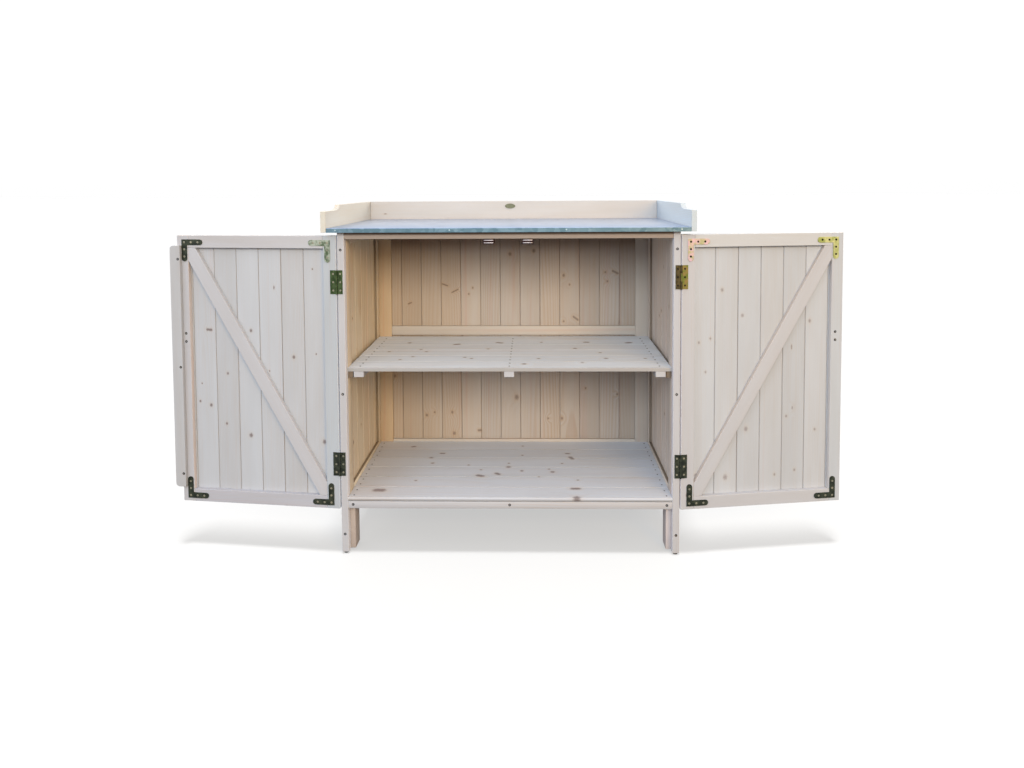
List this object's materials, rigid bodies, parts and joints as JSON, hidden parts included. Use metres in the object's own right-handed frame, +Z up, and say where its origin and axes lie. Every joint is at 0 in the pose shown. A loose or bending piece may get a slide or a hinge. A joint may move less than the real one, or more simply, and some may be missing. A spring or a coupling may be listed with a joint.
{
  "type": "potting bench",
  "caption": "Potting bench: galvanised worktop with a low splash guard over a slatted pine cabinet with a shelf and two hinged, framed and braced doors.",
  "frame": {"origin": "on the ground, under the middle of the worktop", "axes": "+X to the right seen from the front, +Y to the back, +Z up; the doors open towards -Y"},
  "size_m": [1.824, 0.48, 0.94],
  "materials": {
    "pine_frame": "planed softwood with a thin white wash",
    "pine_boards": "tongue and groove softwood boards with a thin white wash",
    "zinc_sheet": "galvanised sheet",
    "passivated_steel": "zinc plated, yellow passivated",
    "glide_plastic": "moulded black plastic",
    "catch_plastic": "moulded dark brown plastic with steel pole strips",
    "badge_brass": "plain oval plate, no marks"
  },
  "bodies": {
    "cabinet": {"back_boards": "pine_boards", "back_frame": "pine_frame", "badge_plate": "badge_brass", "floor_boards": "pine_boards", "floor_frame": "pine_frame", "front_post_left": "pine_frame", "front_post_right": "pine_frame", "glide_front_left": "glide_plastic", "glide_front_right": "glide_plastic", "glide_rear_left": "glide_plastic", "glide_rear_right": "glide_plastic", "left_hinge_bottom_post_leaf": "passivated_steel", "left_hinge_top_post_leaf": "passivated_steel", "magnet_catch_left": "catch_plastic", "magnet_catch_right": "catch_plastic", "rear_leg_left": "pine_frame", "rear_leg_right": "pine_frame", "right_hinge_bottom_post_leaf": "passivated_steel", "right_hinge_top_post_leaf": "passivated_steel", "shelf_batten_center": "pine_frame", "shelf_batten_left": "pine_frame", "shelf_batten_right": "pine_frame", "shelf_boards": "pine_boards", "side_boards_left": "pine_boards", "side_boards_right": "pine_boards", "side_frame_left": "pine_frame", "side_frame_right": "pine_frame", "splash_board_back": "pine_frame", "splash_board_left": "pine_frame", "splash_board_right": "pine_frame", "top_front_rail": "pine_frame", "worktop_deck": "pine_boards", "worktop_zinc_sheet": "zinc_sheet"},
    "left_door": {"left_door_boards": "pine_boards", "left_door_bottom_rail": "pine_frame", "left_door_brace": "pine_frame", "left_door_cover_strip": "pine_frame", "left_door_free_stile": "pine_frame", "left_door_hinge_stile": "pine_frame", "left_door_pull": "pine_frame", "left_door_top_rail": "pine_frame", "left_hinge_bottom_door_leaf": "passivated_steel", "left_hinge_top_door_leaf": "passivated_steel", "left_plate_bottom_free": "passivated_steel", "left_plate_bottom_hinge": "passivated_steel", "left_plate_top_free": "passivated_steel", "left_plate_top_hinge": "passivated_steel"},
    "right_door": {"right_door_boards": "pine_boards", "right_door_bottom_rail": "pine_frame", "right_door_brace": "pine_frame", "right_door_free_stile": "pine_frame", "right_door_hinge_stile": "pine_frame", "right_door_pull": "pine_frame", "right_door_top_rail": "pine_frame", "right_hinge_bottom_door_leaf": "passivated_steel", "right_hinge_top_door_leaf": "passivated_steel", "right_plate_bottom_free": "passivated_steel", "right_plate_bottom_hinge": "passivated_steel", "right_plate_top_free": "passivated_steel", "right_plate_top_hinge": "passivated_steel"}
  },
  "joints": [
    {"name": "left_door_hinge", "type": "hinge", "parent": "cabinet", "child": "left_door", "pos_m": [-0.4552, -0.2226, 0.492], "axis": [0, 0, 1], "range_deg": [-2.4, 185.6]},
    {"name": "right_door_hinge", "type": "hinge", "parent": "cabinet", "child": "right_door", "pos_m": [0.4552, -0.2226, 0.492], "axis": [0, 0, 1], "range_deg": [-187.3, 0.7]}
  ]
}
